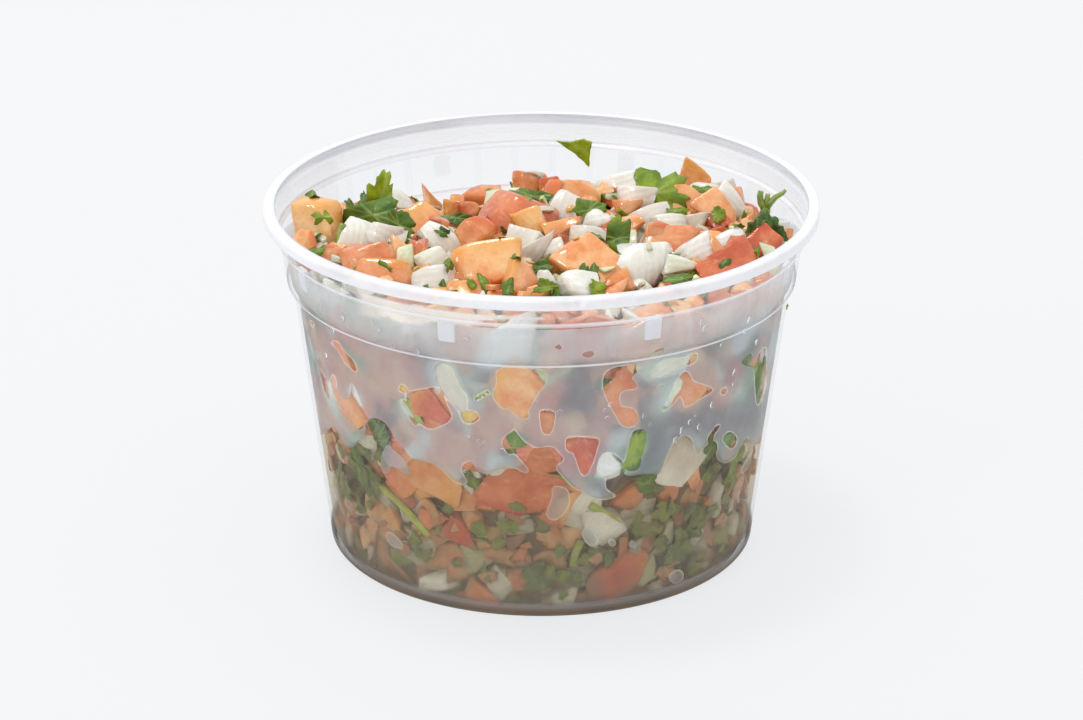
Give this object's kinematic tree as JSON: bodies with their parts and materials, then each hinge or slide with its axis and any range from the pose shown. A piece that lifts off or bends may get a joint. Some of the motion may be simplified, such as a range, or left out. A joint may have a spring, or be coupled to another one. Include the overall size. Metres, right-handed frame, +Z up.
{
  "type": "tub of pico de gallo",
  "caption": "Round tapered deli tub of thin translucent plastic, open on top and filled with diced tomato, onion and chopped cilantro.",
  "frame": {"origin": "middle of the tub's foot, on the surface that it stands on", "axes": "+Z up along the tub's axis, -Y towards the front of the tub, +X to the right seen from the front"},
  "size_m": [0.1174, 0.1174, 0.0785],
  "materials": {
    "tub_plastic": "thin clear plastic, slightly milky, smooth",
    "pico_food": "wet chopped vegetables, mostly tomato",
    "leaf_green": "damp leaf"
  },
  "bodies": {
    "root": {"tub": "tub_plastic", "pico_heap": "pico_food", "stuck_leaf": "leaf_green"}
  },
  "joints": []
}
